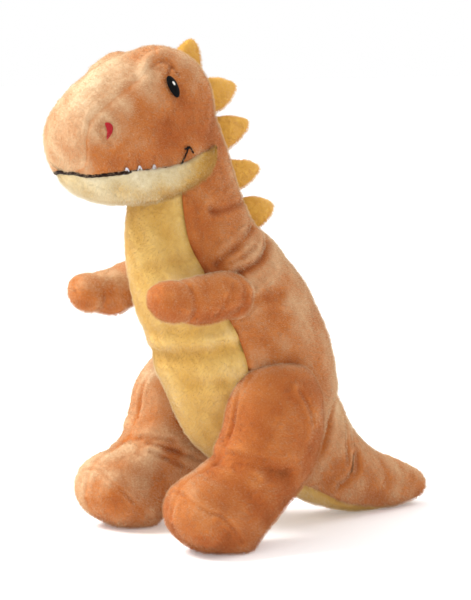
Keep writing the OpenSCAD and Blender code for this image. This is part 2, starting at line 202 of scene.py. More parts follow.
TAIL_FOLDS = [
    [1.4, 2.0, [(19.22, 70), (19.22, 96), (18.91, 108), (18.67, 122)]],
    [0.5, 2.4, [(20.5, 20), (20.8, 60), (20.9, 90)]],
    [0.5, 2.0, [(21.6, 30), (21.7, 70), (21.6, 100)]],
]
LEG_FOLDS = [
    [1.0, 3.2, [(4.1, 84), (4.18, 98), (4.25, 123), (4.3, 148), (4.35, 171), (4.4, 210), (4.3, 262)]],
    [0.5, 1.6, [(4.75, 112), (4.8, 150), (4.9, 180)]],
    [0.8, 1.3, [(4.41, 220), (4.28, 243), (4.24, 269), (4.26, 300)]],
    [0.7, 1.2, [(4.34, 198), (4.04, 226), (3.91, 250)]],
    [0.7, 1.3, [(4.81, 232), (4.64, 260), (4.56, 291)]],
    [0.5, 1.4, [(3.9, 120), (3.95, 150), (4.0, 176)]],
    [0.55, 0.9, [(6.7, 60), (7.1, 86), (7.43, 101), (7.92, 110), (8.28, 132), (8.3, 168), (8.15, 198),
                (8.18, 224), (7.58, 267), (6.69, 304)]],
    [-0.9, 1.7, [(1.54, 96), (2.04, 87), (2.49, 80), (3.0, 78)]],
    [0.9, 1.4, [(1.7, 90), (2.2, 80), (2.6, 74)]],
    [0.8, 1.2, [(1.4, 195), (2.0, 182), (2.6, 180), (3.2, 182)]],
]
ARM_FOLDS = [
    [0.8, 1.6, [(4.2, 0), (4.1, 60), (4.0, 120), (4.1, 180), (4.2, 250), (4.2, 360)]],
    [0.5, 1.4, [(2.2, 60), (2.6, 90), (2.9, 130)]],
    [0.8, 2.2, [(2.0, 30), (1.75, 55), (1.62, 85), (1.75, 115), (2.0, 140)]],
]


def signed_power(a, e):
    """The power of a number's size, with its sign kept."""
    return np.sign(a) * np.abs(a) ** e


def row_at(rows, u):
    """The loft's station at u, smooth between the given ones."""
    r = np.asarray(rows, float)
    n = len(r) - 1
    u = np.clip(np.asarray(u, float), 0, n)
    i = np.minimum(u.astype(int), n - 1)
    f = (u - i)[..., None]
    p0, p1, p2, p3 = r[np.maximum(i - 1, 0)], r[i], r[i + 1], r[np.minimum(i + 2, n)]
    return 0.5 * (2 * p1 + (p2 - p0) * f + (2 * p0 - 5 * p1 + 4 * p2 - p3) * f**2
                  + (3 * p1 - 3 * p2 + p3 - p0) * f**3)


def on_loft(rows, u, v, square=2.0):
    """Points of a loft at stations u and angles v, in toy millimetres about x = 0."""
    r = row_at(rows, u)
    a = np.radians(np.asarray(v, float))
    c, s = signed_power(np.cos(a), 2 / square), signed_power(np.sin(a), 2 / square)
    y = (r[..., 0] + r[..., 2]) / 2 + (r[..., 2] - r[..., 0]) / 2 * c
    z = (r[..., 1] + r[..., 3]) / 2 + (r[..., 3] - r[..., 1]) / 2 * c
    return np.stack([r[..., 4] * s, y, z], -1)


def even_steps(rows, start, end, spacing, square=2.0):
    """Stations from start to end about as far apart as spacing."""
    u = np.linspace(start, end, 400)
    around = np.arange(0, 360, 30.0)
    p = on_loft(rows, u[:, None], around[None, :], square)
    gaps = np.linalg.norm(np.diff(p, axis=0), axis=-1).max(1)
    run = np.concatenate([[0], np.cumsum(gaps)])
    return np.interp(np.linspace(0, run[-1], max(3, int(run[-1] / spacing))), run, u)


# ---- surface detail: fields over space, in toy millimetres ----

def waves(seed, size, count=20):
    """A smooth random field about 1 high, whose lumps are about size across."""
    rng = np.random.default_rng(seed)
    way = rng.normal(size=(count, 3))
    way *= (2 * math.pi / size / rng.uniform(0.7, 1.5, count) / np.linalg.norm(way, axis=1))[:, None]
    phase = rng.uniform(0, 2 * math.pi, count)
    return lambda p: np.sin(p @ way.T + phase).sum(-1) / math.sqrt(count)


stuffing = waves(11, 34)
dimples = waves(12, 11)
mottle = waves(13, 4.2)
fuzz = waves(14, 1.9)
brushed = waves(15, 19)


def uneven(p, heights):
    """The filling's lumps and the pile's unevenness, from the widest to the finest."""
    return sum(h * field(p) for h, field in zip(heights, (stuffing, dimples, mottle, fuzz)))


def far_from(points, line):
    """Distance of each point from a polyline."""
    best = np.full(points.shape[:-1], 1e9)
    for a, b in zip(line[:-1], line[1:]):
        ab = b - a
        t = np.clip(((points - a) @ ab) / max(ab @ ab, 1e-9), 0, 1)
        best = np.minimum(best, np.linalg.norm(points - a - t[..., None] * ab, axis=-1))
    return best


def smooth_line(points, n=8):
    """More points on a smooth curve through the given ones."""
    p = np.asarray(points, float)
    t = np.linspace(0, len(p) - 1, (len(p) - 1) * n + 1)
    return row_at(p, t)


def crease(points, line, depth, width):
    """How far one fold moves points: a valley with a low ridge beside it, or a ridge."""
    d = far_from(points, line) / width
    return -depth * np.exp(-d**2) + 0.3 * max(depth, 0) * np.exp(-((d - 2.0) ** 2))


def fold_field(rows, folds, square=2.0, at_x=0.0, mirrored=True):
    """How far all folds of a loft move each point. Mirrored ones are alike on both sides."""
    lines = []
    for depth, width, places, *only in folds:
        u, v = np.array(places, float).T
        line = on_loft(rows, u, v, square) + [at_x, 0, 0]
        lines.append((depth, width, smooth_line(line), only))

    def lift(p):
        both = np.abs(p) * [1, 0, 0] + p * [0, 1, 1] if mirrored else p
        out = np.zeros(p.shape[:-1])
        for depth, width, line, only in lines:
            out += crease(p * [only[0], 1, 1] if only else both, line, depth, width)
        return out
    return lift


def normals_of(p, middle):
    """Unit normals of a grid of points, away from the middle of each row."""
    n = np.cross(np.gradient(p, axis=0), np.gradient(p, axis=1))
    n /= np.maximum(np.linalg.norm(n, axis=-1, keepdims=True), 1e-9)
    flip = np.sign(((p - middle) * n).sum(-1).mean())
    return n * (flip or 1)


# ---- meshes ----

def make_mesh(name, points, faces):
    """A mesh object from points in toy millimetres."""
    mesh = bpy.data.meshes.new(name)
    mesh.from_pydata(in_frame(points).tolist(), [], faces)
    mesh.polygons.foreach_set("use_smooth", [True] * len(mesh.polygons))
    mesh.update()
    obj = bpy.data.objects.new(name, mesh)
    bpy.context.scene.collection.objects.link(obj)
    return obj


def paint_light_and_tone(obj, values):
    """Keeps the painted light and pile tone at each point: 0 darkest, painted shade as in a seam, 1
    palest, painted highlight.
    """
    mesh = obj.data
    ids = np.empty(len(mesh.loops), int)
    mesh.loops.foreach_get("vertex_index", ids)
    grey = np.clip(values, 0, 1)[ids]
    layer = mesh.color_attributes.new(name="painted_light_and_tone", type="BYTE_COLOR", domain="CORNER")
    layer.data.foreach_set("color", np.stack([grey, grey, grey, grey * 0 + 1], -1).ravel())


def painted_light_and_tone_of(p, n, lift, edge, pale=0.0, seam=0.2, back=0.16):
    """Painted light and the pile's own tone: random tone from brushed and dimples, a painted
    highlight on ridges and where the surface looks up, painted sheen (by back) where it looks to the
    rear, painted shade in valleys and (by seam) beside the seams; pale makes all of it paler."""
    painted_light_and_tone = 0.46 + pale + 0.05 * brushed(p) + 0.03 * dimples(p)
    # painted highlight where the surface looks up and on ridges, painted sheen towards the rear,
    # painted shade in folds
    painted_light_and_tone = painted_light_and_tone + 0.14 * n[..., 2] + back * n[..., 1] + 0.11 * np.clip(lift, -2.5, 1.0)
    # painted shade beside the seams
    return painted_light_and_tone - seam * np.exp(-((edge / 0.7) ** 2))


def grid_faces(rows, cols, closed=False):
    """Quads of a rows x cols grid; closed joins its last column to its first."""
    faces = []
    for i in range(rows - 1):
        for j in range(cols if closed else cols - 1):
            k = (j + 1) % cols
            faces.append((i * cols + j, i * cols + k, (i + 1) * cols + k, (i + 1) * cols + j))
    return faces


def outward(obj, about):
    """Turns a mesh's faces so that they look away from the point about."""
    mesh = obj.data
    c = np.array(in_frame([about])[0])
    score = sum((np.array(f.center) - c) @ np.array(f.normal) * f.area for f in mesh.polygons)
    if score < 0:
        mesh.flip_normals()


def set_weight(obj, name, values):
    """A vertex group with one weight per point, in steps of a tenth."""
    group = obj.vertex_groups.new(name=name)
    for level in np.unique(np.round(values, 1)):
        ids = np.nonzero(np.round(values, 1) == level)[0].tolist()
        if level > 0:
            group.add(ids, float(level), "REPLACE")


# ---- materials ----

class Nodes:
    """A new material's node tree with short ways to add and join nodes."""

    def __init__(self, name):
        self.material = bpy.data.materials.new(name)
        self.material.use_nodes = True
        self.tree = self.material.node_tree
        self.shader = self.tree.nodes["Principled BSDF"]
        self.coords = self.add("ShaderNodeTexCoord").outputs["Object"]

    def add(self, kind, **settings):
        node = self.tree.nodes.new(kind)
        for k, value in settings.items():
            setattr(node, k, value)
        return node

    def join(self, out, into):
        self.tree.links.new(out, into)

    def noise(self, scale, detail=3.0, rough=0.55, distortion=0.0):
        node = self.add("ShaderNodeTexNoise")
        node.inputs["Scale"].default_value = scale
        node.inputs["Detail"].default_value = detail
        node.inputs["Roughness"].default_value = rough
        node.inputs["Distortion"].default_value = distortion
        self.join(self.coords, node.inputs["Vector"])
        return node.outputs["Fac"]

    def maths(self, kind, *values):
        node = self.add("ShaderNodeMath", operation=kind)
        for value, socket in zip(values, node.inputs):
            if hasattr(value, "is_output"):
                self.join(value, socket)
            else:
                socket.default_value = value
        return node.outputs[0]

    def ramp(self, fac, stops):
        node = self.add("ShaderNodeValToRGB")
        ramp = node.color_ramp
        while len(ramp.elements) < len(stops):
            ramp.elements.new(0.5)
        for e, (at, colour) in zip(ramp.elements, stops):
            e.position = at
            e.color = (*colour, 1)
        self.join(fac, node.inputs["Fac"])
        return node.outputs["Color"]

    def bump(self, height, strength, distance):
        node = self.add("ShaderNodeBump")
        node.inputs["Strength"].default_value = strength
        node.inputs["Distance"].default_value = distance
        self.join(height, node.inputs["Height"])
        return node.outputs["Normal"]

    def set(self, **values):
        """Sets the shader's inputs, with _ for the spaces in their names."""
        for k, value in values.items():
            self.shader.inputs[k.replace("_", " ")].default_value = value


def linear(hexa):
    """An sRGB colour such as "d88a50" as linear numbers."""
    c = [int(hexa[i:i + 2], 16) / 255 for i in (0, 2, 4)]
    return tuple(x / 12.92 if x <= 0.04045 else ((x + 0.055) / 1.055) ** 2.4 for x in c)


def plush_material(name, seam, deep, main, pale, sheen_pale):
    """Short-pile plush coloured by the painted light and tone kept on the mesh: saturated in its
    painted shade, pale in its painted highlight and sheen, with random tone from fine noise.
    """
    n = Nodes(name)
    painted_light_and_tone_in = n.add("ShaderNodeVertexColor", layer_name="painted_light_and_tone").outputs["Color"]
    strand = n.add("ShaderNodeHairInfo")
    # Painted sheen: the strands are paler towards their tips.
    tip = n.maths("MULTIPLY", strand.outputs["Is Strand"], strand.outputs["Intercept"])
    fac = n.maths("MULTIPLY_ADD", n.noise(900.0, 4.0, 0.7), 0.36, n.maths("SUBTRACT", painted_light_and_tone_in, 0.25))
    fac = n.maths("MULTIPLY_ADD", n.noise(150.0, 3.0, 0.6, 0.3), 0.12, n.maths("SUBTRACT", fac, 0.06))
    fac = n.maths("MULTIPLY_ADD", tip, 0.62, fac)
    # The palest stop is the painted sheen and highlight colour; it also tints the shader's own sheen.
    colour = n.ramp(fac, [(0.0, linear(seam)), (0.24, linear(deep)), (0.5, linear(main)),
                          (0.72, linear(pale)), (1.0, linear(sheen_pale))])
    n.join(colour, n.shader.inputs["Base Color"])
    n.join(n.bump(n.noise(1500.0, 3.0, 0.7), 0.5, 0.0005), n.shader.inputs["Normal"])
    n.set(Roughness=0.95, Specular_IOR_Level=0.12, Sheen_Weight=0.35, Sheen_Roughness=0.45,
          Sheen_Tint=(*linear(sheen_pale), 1))
    return n.material


def thread_material(name, dark, light, shine=0.2):
    """Embroidery thread: fine ribs along the stitches, with a little gloss."""
    n = Nodes(name)
    ribs = n.noise(2600.0, 2.0, 0.5)
    n.join(n.ramp(ribs, [(0.35, linear(dark)), (0.65, linear(light))]), n.shader.inputs["Base Color"])
    n.join(n.bump(ribs, 0.4, 0.0002), n.shader.inputs["Normal"])
    n.set(Roughness=0.55, Specular_IOR_Level=shine)
    return n.material


# Plush colours run from the painted shade of a seam, over the plush's own colour, to its palest
# painted highlight and sheen; thread colours run from dark to light.
ORANGE = plush_material("plush_orange", "783e1c", "a65726", "ba7038", "c2926a", "e2caa6")
YELLOW = plush_material("plush_yellow", "ac8644", "c89e50", "d3b066", "d8be8a", "e8d8b8")
GOLD = plush_material("plush_yellow_spines", "b0803a", "d09e44", "dcac54", "e0b870", "ead4aa")
PALE_YELLOW = plush_material("plush_yellow_jaw", "a4762e", "ba8e40", "c8b080", "d0c09a", "e2d8c0")
BLACK = thread_material("thread_black", "030303", "141212", 0.06)
BROWN = thread_material("thread_dark_brown", "140a08", "2a1a14", 0.06)
WHITE = thread_material("thread_white", "c8c4bc", "f4f2ec", 0.5)
GREY = thread_material("thread_pale_grey", "a8a8b2", "dcdce2")
RED = thread_material("thread_red", "7c0c14", "bc202a")


# ---- pile ----

# Length in metres, how far a hair strays and is combed (as shares of it), strands for each
# guiding hair, and strands per square millimetre.
PILE_LENGTH = 0.0012
PILE_STRAY = 0.3
PILE_COMB = (0.0, 0.25, -0.35)
PILE_CHILDREN = 10
BODY_DENSITY = 5
SPINE_DENSITY = 6


def pile(obj, density, seed, group):
    """Short pile over a mesh: density is strands per square millimetre."""
    area = sum(f.area for f in obj.data.polygons) * 1e6
    modifier = obj.modifiers.new("pile", "PARTICLE_SYSTEM")
    system = modifier.particle_system
    system.seed = seed
    s = system.settings
    s.type = "HAIR"
    s.count = max(10, int(area * density / PILE_CHILDREN))
    s.hair_step = 3
    s.use_advanced_hair = True
    s.hair_length = PILE_LENGTH
    # These two are speeds, of which Blender makes lengths four times as great.
    s.factor_random = PILE_STRAY * PILE_LENGTH / 4
    s.object_align_factor = [c * PILE_LENGTH / 4 for c in PILE_COMB]
    s.use_emit_random = True
    s.use_even_distribution = True
    s.emit_from = "FACE"
    s.distribution = "RAND"
    s.child_type = "INTERPOLATED"
    s.rendered_child_count = PILE_CHILDREN
    s.child_length = 1.0
    s.clump_factor = 0.12
    s.roughness_2 = 0.0004
    s.roughness_endpoint = 0.0003
    s.root_radius = 1.0
    s.tip_radius = 0.35
    s.radius_scale = 0.00006
    s.render_step = 2
    s.material = 1
    if group:
        system.vertex_group_density = group


# ---- each soft piece's pile, the parts it hides, and its body ----


def finish_soft(obj, nodes, bodies, seed, group="pile", density=BODY_DENSITY):
    """Gives a stuffed piece its pile and hides the parts it stands for; a piece on one body is hung
    on that body, one between two bodies is left in place.
    """
    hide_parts(*nodes)
    pile(obj, density, seed, group)
    if isinstance(bodies, str):
        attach(obj, bodies)
    else:
        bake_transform(obj)


# ---- panels of the body ----

SIDES = (("left", 1), ("right", -1))
# Millimetres: between the rows of a panel's points, heights of the four fields of uneven(),
# width of the tuck at a seam, height and width of the roll beside it, and where pile begins.
ROW_STEP = 0.9
PANEL_LUMPS = (0.6, 0.18, 0.08, 0.05)
JAW_LUMPS = (0.5, 0.22, 0.14, 0.06)
SEAM_TUCK = 1.6
SEAM_ROLL = 0.25
SEAM_ROLL_WIDTH = 1.8
BARE_EDGE = 0.2
CHIN_END = 6.0
JAW_MIDDLE = [0, -40, 186]


def rising(u, start, span=1.0):
    """0 up to start, then a straight rise to 1 over span."""
    return np.clip((u - start) / span, 0, 1)


def edge_distance(p):
    """How far each point of a grid is from the nearer end of its row."""
    gaps = np.linalg.norm(np.diff(p, axis=1), axis=-1)
    run = np.concatenate([np.zeros((len(p), 1)), np.cumsum(gaps, axis=1)], axis=1)
    return np.minimum(run, run[:, -1:] - run)


def panel(name, rows, us, v_from, v_to, cols, material=ORANGE, side=1, square=2.0, at_x=0.0,
          shape=None, folds=None, fit=None, low_z=None, groove=0.9, pale=0.0, seam=0.2, back=0.16):
    """One plush panel of a loft between two angles, with its seams drawn in along both edges."""
    start = np.array([v_from(u) for u in us])[:, None]
    end = np.array([v_to(u) for u in us])[:, None]
    v = start + (end - start) * np.linspace(0, 1, cols)[None, :]
    u = np.broadcast_to(us[:, None], v.shape)
    p = on_loft(rows, u, v, square)
    middle = (on_loft(rows, u, v * 0, square) + on_loft(rows, u, v * 0 + 180, square)) / 2
    n = normals_of(p, middle)
    edge = edge_distance(p)
    p = p + [at_x, 0, 0]
    lift = uneven(p, PANEL_LUMPS)
    lift -= groove * np.exp(-((edge / SEAM_TUCK) ** 2))
    lift += SEAM_ROLL * np.exp(-(((edge - 2 * SEAM_TUCK) / SEAM_ROLL_WIDTH) ** 2))
    if folds:
        lift += folds(p if at_x else p * [side, 1, 1])
    # Painted light in the pile's colour: highlight on ridges and on faces looking up, sheen towards
    # the rear, shade in folds and beside the seams.
    painted_light_and_tone = painted_light_and_tone_of(p, n, lift, edge, pale(u, v) if callable(pale) else pale, seam, back)
    if shape:
        lift += shape(u, v)
    p = p + n * lift[..., None]
    if fit:
        p = fit(p)
    if low_z is not None:
        p[..., 2] = np.maximum(p[..., 2], low_z)
    p = p * [side, 1, 1]
    obj = make_mesh(f"plush_{name}", p.reshape(-1, 3), grid_faces(*p.shape[:2]))
    outward(obj, middle.reshape(-1, 3).mean(0) + [at_x * side, 0, 0])
    obj.data.materials.append(material)
    paint_light_and_tone(obj, painted_light_and_tone.reshape(-1))
    set_weight(obj, "pile", rising(edge, BARE_EDGE, 0.8).reshape(-1))
    return obj


def gusset_at(u):
    """Edge of the panel over the muzzle and the forehead, on the left."""
    return float(np.interp(u, GUSSET_U, GUSSET_ANGLE))


def seam_at(u):
    """Where orange meets yellow on the left."""
    return row_at(BODY, u)[..., 5]


def right_seam_at(u):
    """The same on the right."""
    return 360 - seam_at(u)


def back_seam_at(u):
    """The orange panels meet along the back."""
    return 0.0


def chin_at(u):
    """Lower edge of the head's side panel: right round to the middle under the muzzle, where
    the jaw hides it, and behind that along the throat's seam."""
    if u < CHIN_END:
        return 180.0
    return 180 - (180 - seam_at(u)) * min(1.0, (u - CHIN_END) / 0.5)


def lip(u, v):
    """The muzzle rolls in beneath the mouth line, and most of all at the front."""
    under = np.clip((np.abs(v) - seam_at(u)) / 10, 0, 1) * np.clip((6.6 - u) / 0.6, 0, 1)
    return -(4.2 + 7.0 * np.clip((2.6 - u) / 1.6, 0, 1)) * under


def muzzle_painted_highlight(u, v):
    """Painted highlight: palest over the muzzle and forehead, where the light falls, and deepest on
    the cheeks.
    """
    beside = np.clip((np.abs(v) - np.interp(u, GUSSET_U, GUSSET_ANGLE)) / 28, 0, 2)
    front = np.clip((2.6 - u) / 1.8, 0, 1)
    back = rising(u, 2.8, 2.4)
    return 0.33 * front + (0.36 - 0.33 * front) * np.exp(-beside**2) * (1 - back)


def head():
    look = dict(shape=lip, folds=fold_field(BODY, HEAD_FOLDS), pale=muzzle_painted_highlight, groove=0.22,
                seam=0.02)
    us = even_steps(BODY, 0.02, NECK_RING, ROW_STEP)
    for name, side in SIDES:
        obj = panel(f"head_side_{name}", BODY, us, gusset_at, chin_at, 110, side=side, back=0.13,
                    **look)
        nodes = [f"head_side_{name}", f"neck_side_{name}", f"brow_{name}"]
        finish_soft(obj, nodes, ("neck", "head"), seed=20 + side)
    us = even_steps(BODY, 0.02, CROWN, ROW_STEP)
    top = panel("head_gusset", BODY, us, lambda u: -gusset_at(u), gusset_at, 90, back=-0.04, **look)
    finish_soft(top, ["head_gusset", "head_filling"], ("neck", "head"),
                seed=23)


def jaw():
    """The lower jaw: a stuffed bowl whose lip is turned in under the muzzle."""
    turn_in = 14
    us = even_steps(JAW, 0.02, len(JAW) - 1, ROW_STEP)
    u, a = np.meshgrid(us, np.linspace(-turn_in, 180 + turn_in, 120), indexing="ij")
    r = row_at(JAW, u)
    w = np.radians(np.clip(a, 0, 180))
    back = u / (len(JAW) - 1)
    p = np.stack([
        r[..., 4] * signed_power(np.cos(w), 0.9),
        r[..., 0] + (r[..., 2] - r[..., 0]) * np.sin(w) ** (0.85 + 0.75 * back**2),
        r[..., 1] + (r[..., 3] - r[..., 1]) * np.sin(w) ** (0.85 - 0.3 * back**2),
    ], -1)
    over = np.clip(np.abs(a - 90) - 90, 0, None) / turn_in
    p[..., 0] *= 1 - 0.22 * over**1.2
    p[..., 2] += np.sin(over * math.pi * 0.8)
    middle = np.stack([0 * u, r[..., 0], r[..., 1] + 4], -1)
    n = normals_of(p, middle)
    lift = uneven(p, JAW_LUMPS)
    p = p + n * lift[..., None]
    obj = make_mesh("plush_lower_jaw", p.reshape(-1, 3), grid_faces(*p.shape[:2]))
    outward(obj, JAW_MIDDLE)
    obj.data.materials.append(PALE_YELLOW)
    # Painted light: paler across the middle of the jaw, where it lies in shade, and darker towards
    # its back corner as painted shade.
    pale = 0.24 + 0.8 * back * (1 - back) - 1.25 * back**3.5
    from_seam = 40 * (1 - over)
    paint_light_and_tone(obj, painted_light_and_tone_of(p, n, lift, from_seam, pale, back=0.13).reshape(-1))
    finish_soft(obj, ["lower_jaw"], ("neck", "head"), seed=31, group=None)


def throat():
    us = even_steps(BODY, 5.7, NECK_RING, ROW_STEP)
    # Painted light: the throat is paler up under the jaw, against the jaw's shade there.
    obj = panel("throat_gusset", BODY, us, seam_at, right_seam_at, 70, YELLOW,
                pale=lambda u, v: 0.1 + 0.45 * np.clip(7.9 - u, 0, 1))
    finish_soft(obj, ["throat_gusset", "neck_filling"], ("neck", "head"),
                seed=32)


def trunk_painted_sheen(u, v):
    # Painted sheen: the pile paler behind the neck ring, and a little more from station 13 on.
    return 0.15 * rising(u, NECK_RING, 1.6) + 0.03 * rising(u, 13, 3)


def belly_pale(u, v):
    return 0.1 + 0.06 * rising(u, NECK_RING)


def trunk():
    us = even_steps(BODY, NECK_RING, TAIL_RING, 1.0)
    for name, side in SIDES:
        obj = panel(f"torso_side_{name}", BODY, us, back_seam_at, seam_at, 130, side=side,
                    folds=fold_field(BODY, TRUNK_FOLDS), pale=trunk_painted_sheen, seam=0.1, back=0.13)
        finish_soft(obj, [f"torso_side_{name}"], ("torso", "neck"),
                    seed=40 + side)
    belly = panel("belly_gusset", BODY, us, seam_at, right_seam_at, 100, YELLOW,
                  folds=fold_field(BODY, BELLY_FOLDS, mirrored=False), pale=belly_pale)
    finish_soft(belly, ["belly_gusset", "torso_filling"], ("torso", "neck"),
                seed=43)


def tail_painted_sheen(u, v):
    # Painted sheen: paler where it meets the trunk, less along the tail, and paler again towards the
    # tip.
    return 0.18 - 0.06 * rising(u, TAIL_RING) + 0.05 * rising(u, 22)


def tail():
    us = even_steps(BODY, TAIL_RING, TAIL_TIP, ROW_STEP)
    for name, side in SIDES:
        obj = panel(f"tail_side_{name}", BODY, us, back_seam_at, seam_at, 70, side=side,
                    folds=fold_field(BODY, TAIL_FOLDS), low_z=0.6, pale=tail_painted_sheen, back=0.06)
        finish_soft(obj, [f"tail_side_{name}"], ("torso", "tail"),
                    seed=50 + side)
    under = panel("tail_underside", BODY, us, seam_at, right_seam_at, 50, YELLOW, low_z=0.4)
    finish_soft(under, ["tail_underside", "tail_filling"], ("torso", "tail"),
                seed=53)


def arm_fit(name):
    """Stretches, lifts and splays one arm as the photo has it."""
    stretch, rise, splay = ARM_FIT[name]

    def fit(p):
        out = np.clip(-p[..., 1] / 20, 0, 1)
        y = np.where(p[..., 1] < 0, p[..., 1] * stretch, p[..., 1])
        return np.stack([p[..., 0] + splay * out, y, p[..., 2] + rise * out], -1)
    return fit


def toe_fit(name):
    """Draws one foot back as the photo has it."""
    def fit(p):
        y = np.where(p[..., 1] < 0, p[..., 1] * TOE_FIT[name], p[..., 1])
        return np.stack([p[..., 0], y, p[..., 2]], -1)
    return fit


def limb_half(name, rows, us, start, cols, **look):
    """Half of a limb's skin, from the angle start on."""
    return panel(name, rows, us, lambda u: start, lambda u: start + 180, cols, **look)


def leg(name, side):
    us = even_steps(LEG, 0.02, len(LEG) - 1.0, ROW_STEP, 2.4)
    folds = fold_field(LEG, LEG_FOLDS, LEG_SQUARE, LEG_X, mirrored=False)
    for half, start, parts in (("outer", 0, ("leg_outer", "leg_filling", "foot_pellets")),
                               ("inner", 180, ("leg_inner", "sole"))):
        # Painted light: the right leg is paler than the left, as lit from its side, and rear faces
        # are a little darker.
        obj = limb_half(f"leg_{half}_{name}", LEG, us, start, 80, side=side, square=LEG_SQUARE,
                        at_x=LEG_X, folds=folds, fit=toe_fit(name), low_z=0.8, groove=0.2,
                        seam=0.04, pale=0.06 - 0.13 * side, back=-0.04)
        nodes = [f"{part}_{name}" for part in parts]
        finish_soft(obj, nodes, f"leg_{name}", seed=60 + side + start)


def arm(name, side):
    us = even_steps(ARM, 0.02, len(ARM) - 1.0, 0.8)
    folds = fold_field(ARM, ARM_FOLDS, at_x=ARM_X, mirrored=False)
    for half, start, parts in (("upper", -90, ("arm_upper", "arm_filling")),
                               ("lower", 90, ("arm_lower",))):
        # Painted light: the right arm is paler than the left, as lit from its side.
        obj = limb_half(f"arm_{half}_{name}", ARM, us, start, 44, side=side, at_x=ARM_X,
                        folds=folds, fit=arm_fit(name), groove=0.0, seam=0.0,
                        pale=0.07 - 0.07 * side, back=0.06)
        nodes = [f"{part}_{name}" for part in parts]
        finish_soft(obj, nodes, f"arm_{name}", seed=80 + side + start,
                    group=None)


# ---- spines ----

# [base y, base z, tip y, tip z, half the base's length, body] of each, from the crown down.
SPINES = [
    [-3.0, 229.0, 1.0, 244.4, 8.4, "head"],
    [7.5, 215.5, 27.8, 221.0, 9.8, "head"],
    [14.0, 196.5, 35.2, 203.2, 9.2, "head"],
    [21.5, 176.5, 42.0, 180.5, 8.6, "head"],
    [30.0, 156.5, 51.0, 161.0, 10.2, "neck"],
]
SPINE_THICK = 5.2


def spine(number, by, bz, ty, tz, half, body):
    """A stuffed triangle with a rounded tip and a seam round its edge."""
    base, tip = np.array([0, by, bz]), np.array([0, ty, tz])
    up = tip - base
    high = np.linalg.norm(up)
    up /= high
    along = np.cross([1.0, 0, 0], up)
    around = np.radians(np.arange(0, 360, 7.5))
    h, a = np.meshgrid(np.linspace(-0.25, 0.999, 40), around, indexing="ij")
    rise = np.clip(h, 0, 1)
    blunt = (1 - rise**3.2) ** 0.5
    reach = half * blunt * (1 - 0.42 * rise)
    thick = SPINE_THICK * blunt * (1 - 0.2 * rise)
    core = base + up * (h * high)[..., None]
    out = (along * (reach * np.cos(a))[..., None]
           + np.array([1.0, 0, 0]) * (thick * np.sin(a))[..., None])
    p = core + out
    seam = np.exp(-((np.abs(np.sin(a)) * thick / 0.9) ** 2))
    out /= np.maximum(np.linalg.norm(out, axis=-1, keepdims=True), 1e-6)
    p = p + out * (0.35 * dimples(p) + 0.15 * mottle(p) - 0.3 * seam)[..., None]
    obj = make_mesh(f"plush_spine_{number}", p.reshape(-1, 3),
                    grid_faces(*p.shape[:2], closed=True))
    outward(obj, base)
    obj.data.materials.append(GOLD)
    # Painted shade along the edge seam; the pile paler towards the tip, with random tone from
    # brushed.
    paint_light_and_tone(obj, (0.26 + 0.3 * rise - 0.12 * seam + 0.08 * brushed(p)).reshape(-1))
    finish_soft(obj, [f"spine_{number}"], body, seed=90 + number, group=None,
                density=SPINE_DENSITY)


# ---- embroidery ----

def lay_on(u, v, lift, side=1):
    """A point lifted off the head's surface, and the normal there."""
    p = on_loft(BODY, np.array([u]), np.array([v]))[0]
    du = on_loft(BODY, np.array([u + 0.02]), np.array([v]))[0] - p
    dv = on_loft(BODY, np.array([u]), np.array([v + 1.0]))[0] - p
    n = np.cross(du, dv)
    n /= max(np.linalg.norm(n), 1e-9)
    centre = on_loft(BODY, np.array([u, u]), np.array([v, v + 180.0])).mean(0)
    if n @ (p - centre) < 0:
        n = -n
    return (p + n * lift) * [side, 1, 1], n * [side, 1, 1]


def stitch(verts, faces, middle, way, across, normal, width, length):
    """One thread: a plump little spindle."""
    ring = np.radians(np.arange(0, 360, 45))
    span = np.array([-0.5, -0.42, -0.25, 0, 0.25, 0.42, 0.5])
    fat = np.array([0.12, 0.6, 0.9, 1.0, 0.9, 0.6, 0.12])
    start = len(verts)
    for x, f in zip(span, fat):
        for c in ring:
            verts.append(middle + way * x * length + across * (width / 2 * f * math.cos(c))
                         + normal * (0.35 * width * f * math.sin(c)))
    faces += [tuple(start + q for q in face)
              for face in grid_faces(len(span), len(ring), closed=True)]
    last = start + (len(span) - 1) * len(ring)
    faces.append(tuple(range(start, start + len(ring)))[::-1])
    faces.append(tuple(range(last, last + len(ring))))


def finish_thread(obj, material, node):
    """Embroidery is sewn to the head and moves with it."""
    obj.data.materials.append(material)
    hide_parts(node)
    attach(obj, "head")


def stitch_set(name, strokes, width, length, material):
    """Rows of overlapping stitches, one row along each stroke (its points and normals)."""
    verts, faces = [], []
    for points, normals in strokes:
        p = np.asarray(points, float)
        run = np.concatenate([[0], np.cumsum(np.linalg.norm(np.diff(p, axis=0), axis=1))])
        count = max(2, int(run[-1] / (length * 0.5)))
        at = np.linspace(0, run[-1], count)
        mid = np.stack([np.interp(at, run, p[:, k]) for k in range(3)], 1)
        nor = np.stack([np.interp(at, run, np.asarray(normals)[:, k]) for k in range(3)], 1)
        for i, (m, n) in enumerate(zip(mid, nor)):
            way = mid[min(i + 1, count - 1)] - mid[max(i - 1, 0)]
            way /= np.linalg.norm(way)
            n = n - way * (n @ way)
            n /= np.linalg.norm(n)
            across = np.cross(way, n)
            slant = 0.22 if i % 2 else -0.1
            stitch(verts, faces, m, way + across * slant, across, n, width, length)
    obj = make_mesh(f"thread_{name}", np.array(verts), faces)
    finish_thread(obj, material, name)


